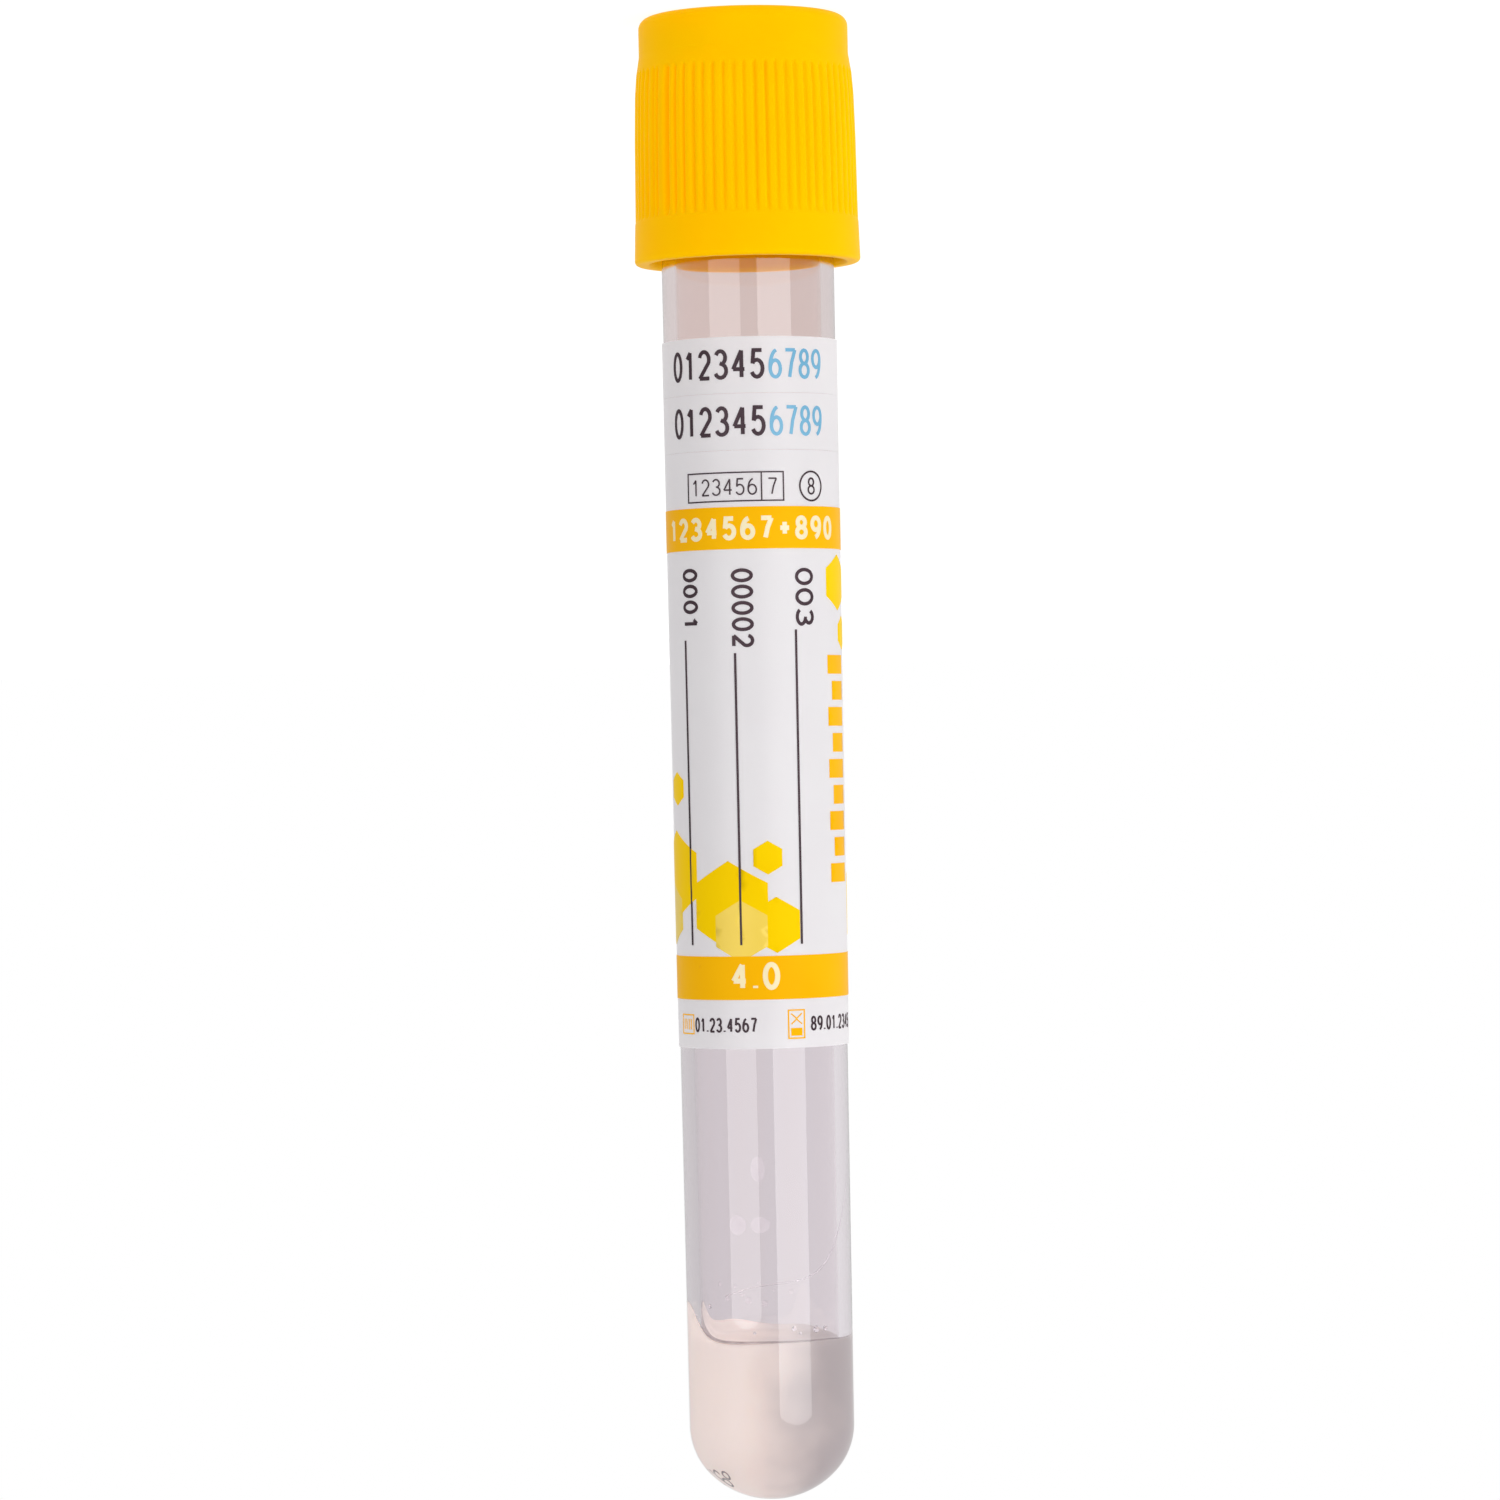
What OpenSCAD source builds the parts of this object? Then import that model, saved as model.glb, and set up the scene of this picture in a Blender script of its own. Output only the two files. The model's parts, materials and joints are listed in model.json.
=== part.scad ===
// Blood collection tube: a clear round-bottom tube with separator gel, a film label
// with two peel-off strips, and a ribbed safety cap that holds a rubber stopper.
// Each sub-part is drawn upright in its own frame: the tube's tip at the origin, its
// axis along +Z, the label's front towards -Y. stand() then turns it over onto the cap's
// flat top, because a tube that lies down rolls, and it can stand on nothing else.

/* [Tube] */
// Length from the tip of the round end to the lip
tube_length = 100; // [90:0.5:120]
// Outside diameter at the lip
lip_od = 12.54; // [12.3:0.02:12.8]
// Outside diameter where the round end starts
heel_od = 11.88; // [11.5:0.02:12.1]
// Height of the round end
end_height = 5.4; // [5.1:0.05:5.6]
// How much flatter the crown is than the corner: height left above the corner radius
end_flat = 0.4; // [0.3:0.05:0.6]
// Wall thickness
wall = 1.0; // [0.8:0.05:1.2]
// Bevel on the lip's outer edge
lip_bevel = 0.2; // [0.1:0.05:0.3]

/* [Gel] */
// Height of the lowest point of the gel's surface above the tip
gel_level = 11.3; // [8:0.1:20]
// Radius of the hollow that the surface tension leaves
gel_dish_r = 14; // [10:0.5:20]
// Sideways tilt of the gel's surface, higher on the left
gel_tilt = 4; // [0:0.5:6]
// Height above the surface's lowest point that the gel climbs up the wall at most
gel_climb = 3; // [2.5:0.1:4]

/* [Label] */
// Height of the label's lower edge above the tip
label_low = 32.8; // [25:0.1:40]
// Height of the main label, up to the first kiss cut
label_high = 42.6; // [36:0.1:45]
// Height of each peel-off strip
strip_height = 4.0; // [3:0.1:5]
// Width of the kiss cut between two pieces of film
kiss_cut = 0.06; // [0.04:0.01:0.1]
// Thickness of the film
film_t = 0.10; // [0.06:0.01:0.15]
// Angle of the tube that the label covers
label_wrap = 330; // [300:5:345]
// Thickness of the printed ink
ink_t = 0.04; // [0.03:0.005:0.05]

/* [Print] */
// Height of the upper colour band's lower edge above the tip
upper_band_z = 68.4; // [60:0.1:70]
// Width of the upper colour band
upper_band_w = 3.0; // [2:0.1:4]
// Height of the lower colour band's lower edge above the tip
lower_band_z = 36.3; // [34:0.1:37]
// Width of the lower colour band
lower_band_w = 3.1; // [2:0.1:4]
// Width of a write-on line
line_w = 0.16; // [0.1:0.02:0.3]
// Height of the write-on lines' lower ends above the tip
line_low = 40.2; // [40:0.1:42]
// Angle between the first and second write-on line
line_step_1 = 39.6; // [35:0.2:42]
// Angle between the second and third write-on line
line_step_2 = 41.2; // [35:0.2:45]
// Corner radius of the largest hexagon
hex_big = 3.2; // [2.5:0.1:3.4]
// Corner radius of the middle hexagons
hex_mid = 2.0; // [1.5:0.1:2.3]
// Corner radius of the pale hexagons
hex_pale = 2.2; // [1.5:0.1:2.4]
// Corner radius of the small hexagons
hex_small = 1.2; // [0.8:0.1:1.4]
// Number of blocks in the colour column on the label's right
column_blocks = 9; // [5:1:10]
// Angle of the column's left edge from the label's front
column_from = 55; // [45:1:65]
// Angle of the column's right edge
column_to = 78; // [70:1:85]
// How much further right every second block starts
column_step = 5; // [0:0.5:8]
// Height of the column's lower end above the tip
column_low = 44.5; // [42:0.1:50]
// Height of the column
column_h = 16.8; // [10:0.1:20]
// Share of the column's height that its blocks fill
column_fill = 0.72; // [0.5:0.02:0.9]

/* [Cap] */
// Height of the cap's top above the tube's lip
cap_rise = 7.0; // [6:0.1:9]
// Length of the skirt below the tube's lip
skirt_drop = 10.8; // [8:0.1:13]
// Outside diameter of the plain band at the top
top_band_od = 15.12; // [15:0.02:15.4]
// Height of the plain band at the top
top_band_h = 2.8; // [2:0.1:3.5]
// Rounding of the top's outer edge
top_round = 0.8; // [0.4:0.05:1]
// Outside diameter over the ribs near the top
rib_top_od = 15.8; // [15.7:0.02:15.9]
// Outside diameter over the ribs at their lower end
rib_low_od = 16.08; // [16:0.02:16.2]
// Number of ribs
rib_count = 64; // [48:1:72]
// Share of the ribs' height at which they are fullest above the rim
belly_at = 0.5; // [0.4:0.02:0.6]
// Share of the ribs' taper that is left at that height
belly = 0.6; // [0.4:0.05:0.8]
// Share of the ribs' height at which they turn in
turn_at = 0.76; // [0.7:0.02:0.8]
// Share of the ribs' height at the shoulder above that turn
shoulder_at = 0.89; // [0.84:0.01:0.94]
// Share of the way in to the plain top band at the shoulder
shoulder = 0.35; // [0.2:0.05:0.5]
// Height of the step from the rim up to the ribs' feet
rib_foot = 0.15; // [0.1:0.05:0.3]
// Width of the groove between two ribs at its lower end
groove_w = 0.46; // [0.3:0.02:0.6]
// Depth of the groove at its lower end
groove_depth = 0.26; // [0.15:0.01:0.3]
// Height of the groove's lower end above the ribs' feet
groove_start = 0.1; // [0.05:0.05:0.4]
// Depth of the groove at its upper end, below the diameter over the ribs near the top
groove_top_depth = 0.28; // [0.2:0.01:0.3]
// Height of the plain rim band at the bottom
rim_h = 2.9; // [2:0.1:4]
// Outside diameter of the rim at its lower edge
rim_od = 16.3; // [16.2:0.02:16.5]
// Rounding of the rim's outer edge
rim_round = 0.3; // [0.2:0.05:0.4]
// How far the rim's upper edge stands out over the ribs
rim_step = 0.03; // [0.01:0.01:0.06]
// Gap between the skirt and the tube
skirt_gap = 0.8; // [0.6:0.05:0.85]
// How much the skirt's bore narrows up to the bead
skirt_draft = 0.1; // [0:0.02:0.2]
// How much the skirt's bore flares at its mouth
skirt_flare = 0.15; // [0.1:0.05:0.3]
// Height of that flare
flare_h = 0.3; // [0.2:0.05:0.5]
// Thickness of the cap's top
deck_t = 1.3; // [1:0.05:1.6]
// Diameter of the needle opening in the cap's top
port_d = 8.0; // [6:0.1:9]
// Bevel of the needle opening
port_bevel = 0.4; // [0.2:0.05:0.6]
// Height of the bead that holds the stopper
bead_h = 1.0; // [0.8:0.05:1.4]
// Share of the bead's height that is its straight land
bead_land = 0.6; // [0.4:0.05:0.8]
// Gap between the bead and the tube's lip
bead_gap = 0.13; // [0.1:0.01:0.2]

/* [Stopper] */
// Diameter of the stopper's head
head_d = 13.3; // [13.2:0.02:13.4]
// Gap between the head and the cap
head_gap = 0.05; // [0.02:0.01:0.08]
// Length of the plug below the lip
plug_length = 8.5; // [6:0.1:9.5]
// Gap between the plug and the bore
plug_gap = 0.05; // [0.03:0.01:0.1]
// Depth of the relief between the plug's sealing bands
plug_relief = 0.25; // [0.1:0.05:0.4]
// Share of the plug's length where the relief starts
relief_from = 0.28; // [0.2:0.02:0.32]
// Share of the plug's length where the relief ends
relief_to = 0.58; // [0.54:0.02:0.7]
// Share of the plug's length that each end of the relief slopes over
relief_slope = 0.06; // [0.04:0.01:0.1]
// Bevel at the plug's lower edge
plug_bevel = 0.5; // [0.3:0.05:0.8]
// Diameter of the needle dish
dish_d = 6.8; // [5:0.1:7.4]
// Depth of the needle dish
dish_depth = 2.0; // [1:0.1:3]
// Share of the dish's diameter that is its flat floor
dish_floor = 0.35; // [0.2:0.05:0.6]
// Diameter of the hollow in the plug's underside
hollow_d = 6.4; // [5:0.1:7]
// Depth of the hollow in the plug's underside
hollow_depth = 5.0; // [3:0.1:6]
// Share of the hollow's diameter that is its flat roof
hollow_roof = 0.6; // [0.4:0.05:0.8]
// Height of the slope round that roof
hollow_slope = 1.0; // [0.5:0.1:1.5]
// How much wider the hollow is at its mouth, each side
hollow_flare = 0.3; // [0.1:0.05:0.5]

/* [Hidden] */
$fn = 64;

lip_r = lip_od / 2;
heel_r = heel_od / 2;
function outer_r(z) = heel_r + (lip_r - heel_r) * (z - end_height) / (tube_length - end_height);
function bore_r(z) = outer_r(z) - wall;

// Round end: a corner radius that meets the wall, and a flatter crown that meets it
corner_r = end_height - end_flat;
corner_x = heel_r - corner_r;
crown_r = (corner_x * corner_x + end_height * end_height - corner_r * corner_r) / (2 * end_flat);
// Direction from the crown's centre through the corner's centre to where they meet
meet_l = norm([corner_x, end_height - crown_r]);
meet_x = corner_x / meet_l;
meet_z = (end_height - crown_r) / meet_l;

strip_low_z = label_low + label_high + kiss_cut;
strip_up_z = strip_low_z + strip_height + kiss_cut;

cap_low = tube_length - skirt_drop;
cap_top = tube_length + cap_rise;
head_top = cap_top - deck_t;
head_bore_r = head_d / 2 + head_gap;
bead_r = lip_r + bead_gap;
skirt_r = outer_r(cap_low) + skirt_gap;
rim_r = rim_od / 2;
rim_high = cap_low + rim_h;
band_low = cap_top - top_band_h;
rib_low_r = rib_low_od / 2;
rib_top_r = rib_top_od / 2;
band_r = top_band_od / 2;
plug_low = tube_length - plug_length;
plug_r = bore_r(plug_low) - plug_gap;

// Angles round the tube count from the label's front, positive to the right
first_line = -53.4;
lines = [first_line, first_line + line_step_1, first_line + line_step_1 + line_step_2];
line_tops = [62.0, 61.0, 62.6];
line_a = line_w / outer_r(line_low) * 180 / PI;
// Hexagons: angle, height of the centre, corner radius
bright_hexes = [[-22, 43.0, hex_big], [10, 41.6, hex_mid], [5, 46.4, hex_small],
                [-74, 45.2, hex_big], [-70, 51.4, hex_small], [71, 66.0, hex_mid],
                [81, 62.4, hex_small], [118, 43.4, hex_big], [-128, 60.0, hex_mid]];
pale_hexes = [[-14, 41.2, hex_pale], [-84, 42.4, hex_pale], [110, 41.8, hex_pale]];

// Half the angle of ink that a hexagon is cut from, and the play of cutting bodies
hex_reach = 60;
past = 1;

// Turned over about the Y axis, so the front stays in front
module stand() {
    translate([0, 0, cap_top])
        rotate([0, 180, 0])
            children();
}

// Half section of a round-ended body, thinned by t all round, up to height top
module end_section(t, top) {
    crown = [0, crown_r];
    corner = [corner_x, end_height];
    out = [crown[0] + 2 * crown_r * meet_x, crown[1] + 2 * crown_r * meet_z];
    intersection() {
        translate(crown)
            circle(r = crown_r - t, $fn = 180);
        polygon([crown, [0, -crown_r], [out[0], -crown_r], out]);
    }
    intersection() {
        translate(corner)
            circle(r = corner_r - t, $fn = 180);
        polygon([corner, out, [3 * heel_r, out[1]], [3 * heel_r, end_height]]);
    }
    polygon([crown, corner, [heel_r - t, end_height], [outer_r(top) - t, top], [0, top]]);
}

module sector(a0, a1) {
    rotate([0, 0, a0 - 90])
        rotate_extrude(angle = a1 - a0)
            children();
}

// A skin on the tube's outside between two heights, off above it and t thick
module skin(a0, a1, z0, z1, off, t) {
    sector(a0, a1)
        polygon([[outer_r(z0) + off, z0], [outer_r(z0) + off + t, z0],
                 [outer_r(z1) + off + t, z1], [outer_r(z1) + off, z1]]);
}

module ink(a0, a1, z0, z1) {
    skin(a0, a1, z0, z1, film_t, ink_t);
}

// A piece of film round the tube, with a gap at the back through which the fill shows
module film(z0, z1) {
    skin(-label_wrap / 2, label_wrap / 2, z0, z1, 0, film_t);
}

// A band of ink along the whole of the film
module ink_band(z0, z1) {
    ink(-label_wrap / 2, label_wrap / 2, z0, z1);
}

module tube() {
    color([0.86, 0.84, 0.86, 0.35])
        stand()
            rotate_extrude()
                difference() {
                    end_section(0, tube_length);
                    end_section(wall, tube_length + past);
                    polygon([[lip_r - lip_bevel - past, tube_length + past],
                             [lip_r + past, tube_length + past],
                             [lip_r + past, tube_length - lip_bevel - past]]);
                }
}

module gel() {
    color([0.86, 0.81, 0.76, 0.9])
        stand()
            difference() {
                rotate_extrude()
                    end_section(wall, gel_level + gel_climb);
                translate([gel_dish_r * sin(gel_tilt), 0, gel_level + gel_dish_r])
                    sphere(r = gel_dish_r, $fn = 180);
            }
}

module main_label() {
    color([0.91, 0.89, 0.91])
        stand()
            film(label_low, label_low + label_high);
}

module peel_strip_lower() {
    color([0.92, 0.90, 0.92])
        stand()
            film(strip_low_z, strip_low_z + strip_height);
}

module peel_strip_upper() {
    color([0.92, 0.90, 0.92])
        stand()
            film(strip_up_z, strip_up_z + strip_height);
}

module column() {
    pitch = column_h / column_blocks;
    for (i = [0 : column_blocks - 1])
        ink(column_from + column_step * (i % 2), column_to,
            column_low + i * pitch, column_low + (i + column_fill) * pitch);
}

module print_bands() {
    color([0.98, 0.74, 0.05])
        stand() {
            ink_band(upper_band_z, upper_band_z + upper_band_w);
            ink_band(lower_band_z, lower_band_z + lower_band_w);
            column();
        }
}

module hex_prism(h) {
    rotate([0, 0, h[0]])
        translate([0, 0, h[1]])
            rotate([90, 0, 0])
                linear_extrude(height = 2 * lip_r)
                    rotate(30)
                        circle(r = h[2], $fn = 6);
}

module hex_field(h) {
    intersection() {
        ink(h[0] - hex_reach, h[0] + hex_reach, lower_band_z + lower_band_w, upper_band_z);
        hex_prism(h);
    }
}

module line_cuts() {
    for (i = [0 : 2])
        skin(lines[i] - line_a / 2, lines[i] + line_a / 2, line_low, line_tops[i],
             0, 2 * film_t + ink_t);
}

module print_hexagons() {
    color([0.98, 0.84, 0.02])
        stand()
            difference() {
                for (h = bright_hexes)
                    hex_field(h);
                for (h = pale_hexes)
                    hex_prism(h);
                line_cuts();
            }
}

module print_hexagons_pale() {
    color([0.97, 0.84, 0.38])
        stand()
            difference() {
                for (h = pale_hexes)
                    hex_field(h);
                line_cuts();
            }
}

module print_lines() {
    color([0.2, 0.13, 0.16])
        stand()
            for (i = [0 : 2])
                ink(lines[i] - line_a / 2, lines[i] + line_a / 2, line_low, line_tops[i]);
}

// Outside of the cap from the rim's edge up to the top's edge
function rim_arc() = [for (a = [-90 : 15 : 0])
    [rim_r - rim_round + rim_round * cos(a), cap_low + rim_round + rim_round * sin(a)]];
function top_arc() = [for (a = [0 : 10 : 90])
    [band_r - top_round + top_round * cos(a), cap_top - top_round + top_round * sin(a)]];

module cap_section() {
    rib_z = band_low - rim_high;
    polygon(concat(
        rim_arc(),
        [[rib_low_r + rim_step, rim_high],
         [rib_low_r, rim_high + rib_foot],
         [rib_top_r + belly * (rib_low_r - rib_top_r), rim_high + belly_at * rib_z],
         [rib_top_r, rim_high + turn_at * rib_z],
         [rib_top_r - shoulder * (rib_top_r - band_r), rim_high + shoulder_at * rib_z],
         [band_r, band_low]],
        top_arc(),
        [[port_d / 2 + port_bevel, cap_top],
         [port_d / 2, cap_top - port_bevel],
         [port_d / 2, head_top],
         [head_bore_r, head_top],
         [head_bore_r, tube_length],
         [bead_r, tube_length],
         [bead_r, tube_length - bead_land * bead_h],
         [skirt_r - skirt_draft, tube_length - bead_h - (skirt_r - bead_r)],
         [skirt_r, cap_low + flare_h],
         [skirt_r + skirt_flare, cap_low]]));
}

// V grooves between the ribs, running out where the ribs meet the plain top band
module grooves() {
    low_z = rim_high + rib_foot + groove_start;
    root_low = rib_low_r - groove_depth;
    root_high = rib_top_r - groove_top_depth;
    tilt = atan2(root_low - root_high, band_low - low_z);
    spread = groove_w / groove_depth / 2;
    reach = max(rib_low_r, rib_top_r, band_r) - min(root_low, root_high) + past;
    for (i = [0 : rib_count - 1])
        rotate([0, 0, (i + 0.5) * 360 / rib_count])
            translate([root_low, 0, low_z])
                rotate([0, -tilt, 0])
                    linear_extrude(height = norm([root_low - root_high, band_low - low_z]))
                        polygon([[0, 0], [reach, -reach * spread], [reach, reach * spread]]);
}

module cap() {
    color([0.98, 0.76, 0.02])
        stand()
            difference() {
                rotate_extrude()
                    cap_section();
                grooves();
            }
}

module stopper() {
    relief_r = plug_r - plug_relief;
    color([0.45, 0.45, 0.47])
        stand()
            rotate_extrude()
                polygon([[0, plug_low + hollow_depth],
                         [hollow_roof * hollow_d / 2, plug_low + hollow_depth],
                         [hollow_d / 2, plug_low + hollow_depth - hollow_slope],
                         [hollow_d / 2 + hollow_flare, plug_low],
                         [plug_r - plug_bevel, plug_low],
                         [plug_r, plug_low + plug_bevel],
                         [plug_r, plug_low + relief_from * plug_length],
                         [relief_r, plug_low + (relief_from + relief_slope) * plug_length],
                         [relief_r, plug_low + (relief_to - relief_slope) * plug_length],
                         [plug_r, plug_low + relief_to * plug_length],
                         [plug_r, tube_length],
                         [head_d / 2, tube_length],
                         [head_d / 2, head_top],
                         [dish_d / 2, head_top],
                         [dish_floor * dish_d / 2, head_top - dish_depth],
                         [0, head_top - dish_depth]]);
}

tube();
gel();
main_label();
peel_strip_lower();
peel_strip_upper();
print_bands();
print_hexagons();
print_hexagons_pale();
print_lines();
cap();
stopper();
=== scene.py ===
import json
import math
import bmesh
import bpy
import numpy as np
from mathutils import Matrix, Vector


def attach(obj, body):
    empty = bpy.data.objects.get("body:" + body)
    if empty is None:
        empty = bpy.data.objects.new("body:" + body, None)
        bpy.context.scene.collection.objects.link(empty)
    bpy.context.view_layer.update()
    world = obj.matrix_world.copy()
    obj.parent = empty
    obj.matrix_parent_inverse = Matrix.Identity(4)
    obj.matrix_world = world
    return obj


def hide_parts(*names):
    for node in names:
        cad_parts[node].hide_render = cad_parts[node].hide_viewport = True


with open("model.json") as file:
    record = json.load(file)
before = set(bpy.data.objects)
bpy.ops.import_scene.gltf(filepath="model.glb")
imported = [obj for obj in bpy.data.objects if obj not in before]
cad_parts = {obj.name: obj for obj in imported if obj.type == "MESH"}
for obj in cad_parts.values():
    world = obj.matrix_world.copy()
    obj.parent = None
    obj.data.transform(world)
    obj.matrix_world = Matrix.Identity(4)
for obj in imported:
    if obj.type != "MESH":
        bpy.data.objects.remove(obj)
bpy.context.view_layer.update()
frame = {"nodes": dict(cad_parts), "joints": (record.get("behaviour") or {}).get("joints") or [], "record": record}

print("frame loaded")

# ---- the tube's own frame, in mm: x to the label's right, f out of its front, z from the tip to the cap
mm = 0.001
mountByName = {m["name"]: m for m in frame["record"]["mounts"]}
axisDir = -np.array(frame["joints"][0]["axis"], float)
rightDir = np.array([-1.0, 0.0, 0.0])
frontDir = np.cross(rightDir, axisDir)
barrelPoint = np.array(mountByName["barrel"]["pos_m"], float)


# Vertices of a CAD node in that frame: the dot products with its three directions
def localPoints(name, tipShift=0.0):
    mesh = frame["nodes"][name].data
    co = np.zeros(len(mesh.vertices) * 3)
    mesh.vertices.foreach_get("co", co)
    d = (co.reshape(-1, 3) - barrelPoint) / mm
    return np.stack([d @ rightDir, d @ frontDir, d @ axisDir - tipShift], axis=1)


tipShift = localPoints("tube")[:, 2].min()
tipPoint = barrelPoint + axisDir * tipShift * mm


# The way back: from x, f, z in mm to the row frame in metres
def toRow(x, f, z):
    x, f, z = np.broadcast_arrays(x, f, z)
    return tipPoint + mm * (x[..., None] * rightDir + f[..., None] * frontDir + z[..., None] * axisDir)


# Cylinder coordinates: angle in degrees from the front, positive to the right
def polar(angle, r, z):
    a = np.radians(angle)
    return toRow(r * np.sin(a), r * np.cos(a), z)


# Full rings of a CAD node as (z, r): places where many vertices share a height and a radius
def rings(name, least=40):
    p = localPoints(name, tipShift)
    zr = np.round(np.stack([p[:, 2], np.hypot(p[:, 0], p[:, 1])], axis=1), 2)
    found, count = np.unique(zr, axis=0, return_counts=True)
    return found[count >= least]


# ---- sizes read from the CAD nodes
tubeRings, capRings, stopperRings = rings("tube"), rings("cap"), rings("stopper", 30)
tubeLength = tubeRings[:, 0].max()
levels, ringCount = np.unique(tubeRings[:, 0], return_counts=True)
endHeight = levels[ringCount > 1].min()
lipBevelZ = levels[-2]
heelR = tubeRings[np.isclose(tubeRings[:, 0], endHeight), 1].max()
lipR = tubeRings[np.isclose(tubeRings[:, 0], lipBevelZ), 1].max()
boreHeelR = tubeRings[np.isclose(tubeRings[:, 0], endHeight), 1].min()
wall = heelR - boreHeelR
tubePoints = localPoints("tube", tipShift)
nearTip = tubePoints[(tubePoints[:, 2] > 0.02) & (tubePoints[:, 2] < 0.6)]
crownR = np.median((nearTip ** 2).sum(axis=1) / (2 * nearTip[:, 2]))
cornerR = (crownR ** 2 - heelR ** 2 - (crownR - endHeight) ** 2) / (2 * (crownR - heelR))
cornerX = heelR - cornerR
meetAngle = math.atan2(cornerX, crownR - endHeight)
capTop = capRings[:, 0].max()
capLow = capRings[:, 0].min()
print("sizes", dict(length=tubeLength, end=endHeight, lip=lipR, heel=heelR, wall=wall,
                    crown=crownR, corner=cornerR))


# Outside radius of the barrel: a straight taper from the heel to the lip
def outerR(z):
    return heelR + (lipR - heelR) * (np.asarray(z, float) - endHeight) / (lipBevelZ - endHeight)


# Round end as (r, z), thinned by t all round: a crown arc, then a corner arc that meets it
def endArc(t, steps=26):
    a = np.linspace(0.0, meetAngle, steps)
    b = np.linspace(meetAngle, math.pi / 2, steps)[1:]
    crown = np.stack([(crownR - t) * np.sin(a), crownR - (crownR - t) * np.cos(a)], axis=1)
    corner = np.stack([cornerX + (cornerR - t) * np.sin(b), endHeight - (cornerR - t) * np.cos(b)], axis=1)
    return np.vstack([crown, corner])


# Radius of that end at a height, and above it of the barrel, thinned by t
def bodyR(z, t=0.0):
    arc = endArc(t, 60)
    low = np.interp(z, arc[:, 1], arc[:, 0])
    return np.where(np.asarray(z) < endHeight, low, outerR(z) - t)


# ---- meshes
# Quads between neighbouring rows and columns of a grid, closed across a row or column on request
def gridQuads(rows, cols, closeRows=False, closeCols=False):
    index = np.arange(rows * cols).reshape(rows, cols)
    if closeRows:
        index = np.vstack([index, index[:1]])
    if closeCols:
        index = np.hstack([index, index[:, :1]])
    corners = [index[:-1, :-1], index[1:, :-1], index[1:, 1:], index[:-1, 1:]]
    return np.stack(corners, axis=-1).reshape(-1, 4)


# Volume enclosed by quads: a sum of tetrahedra from their middle, which says if they face outward
def enclosed(points, quads):
    p = points - points.mean(axis=0)
    a, b, c, d = (p[quads[:, k]] for k in range(4))
    return (np.einsum("ij,ij->i", a, np.cross(b, c)) + np.einsum("ij,ij->i", a, np.cross(c, d))).sum()


# Faces turned over where that volume is negative
def outward(points, quads):
    return quads if enclosed(points, quads) > 0 else quads[:, ::-1]


# A thin closed body between two equal grids: both skins and the walls that join their edges.
# Grids whose last row is their first make a ring with no end walls.
def between(top, low):
    ring = np.allclose(top[0], top[-1], atol=1e-9)
    if ring:
        top, low = top[:-1], low[:-1]
    rows, cols = top.shape[:2]
    points = np.vstack([top.reshape(-1, 3), low.reshape(-1, 3)])
    n = rows * cols
    index = np.arange(n).reshape(rows, cols)
    quads = [gridQuads(rows, cols, ring), gridQuads(rows, cols, ring)[:, ::-1] + n]
    edges = [index[:, 0][::-1], index[:, -1]]
    if ring:
        edges = [np.append(edge, edge[0]) for edge in edges]
    else:
        edges += [index[-1, :][::-1], index[0, :]]
    for edge in edges:
        quads.append(np.stack([edge[:-1], edge[1:], edge[1:] + n, edge[:-1] + n], axis=1))
    quads = np.vstack(quads)
    return points, outward(points, quads)


# A profile (r, z) turned round the axis. Its ends are on the axis unless it is closed.
def turned(profile, steps, closed=False):
    angle = np.linspace(0.0, 360.0, steps, endpoint=False)
    grid = polar(angle[:, None], profile[None, :, 0], profile[None, :, 1])
    points = grid.reshape(-1, 3)
    quads = gridQuads(steps, len(profile), closeRows=True, closeCols=closed)
    return points, outward(points, quads)


# Several bodies as one: each one's faces count on from the points before it
def joined(bodies):
    points, quads, n = [], [], 0
    for p, q in bodies:
        points.append(p)
        quads.append(q + n)
        n += len(p)
    return np.vstack(points), np.vstack(quads)


# Makes a mesh into a piece: smooth faces with creases sharper than the angle, its material, the body that it
# rides with, and the CAD nodes that it stands for
def finishPiece(mesh, material, rider, nodes, crease):
    mesh.polygons.foreach_set("use_smooth", np.ones(len(mesh.polygons), bool))
    mesh.set_sharp_from_angle(angle=math.radians(crease))
    mesh.materials.clear()
    mesh.materials.append(material)
    obj = bpy.data.objects.new(mesh.name, mesh)
    bpy.context.scene.collection.objects.link(obj)
    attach(obj, rider)
    if nodes:
        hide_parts(*nodes)
    return obj


# A piece from points and faces, with the doubled points at its poles welded
def addPiece(name, body, material, rider, nodes=(), crease=35.0):
    points, quads = body
    mesh = bpy.data.meshes.new(name)
    mesh.from_pydata(points.tolist(), [], quads.tolist())
    mesh.validate()
    mesh.update()
    bm = bmesh.new()
    bm.from_mesh(mesh)
    bmesh.ops.remove_doubles(bm, verts=bm.verts, dist=1e-8)
    bmesh.ops.dissolve_degenerate(bm, edges=bm.edges, dist=1e-8)
    bm.to_mesh(mesh)
    bm.free()
    return finishPiece(mesh, material, rider, nodes, crease)


# Rounds the corners of an outline: each gives way to a quadratic curve that starts a set length before it
def softened(outline, size, closed=False, steps=4):
    out = []
    n = len(outline)
    for k in range(n):
        p = outline[k]
        if not closed and k in (0, n - 1):
            out.append(p[None])
            continue
        back, ahead = outline[k - 1] - p, outline[(k + 1) % n] - p
        reach = min(size, 0.45 * np.linalg.norm(back), 0.45 * np.linalg.norm(ahead))
        a = p + back / np.linalg.norm(back) * reach
        b = p + ahead / np.linalg.norm(ahead) * reach
        t = np.linspace(0.0, 1.0, steps + 1)[:, None]
        out.append((1 - t) ** 2 * a + 2 * t * (1 - t) * p + t ** 2 * b)
    return np.vstack(out)


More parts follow.
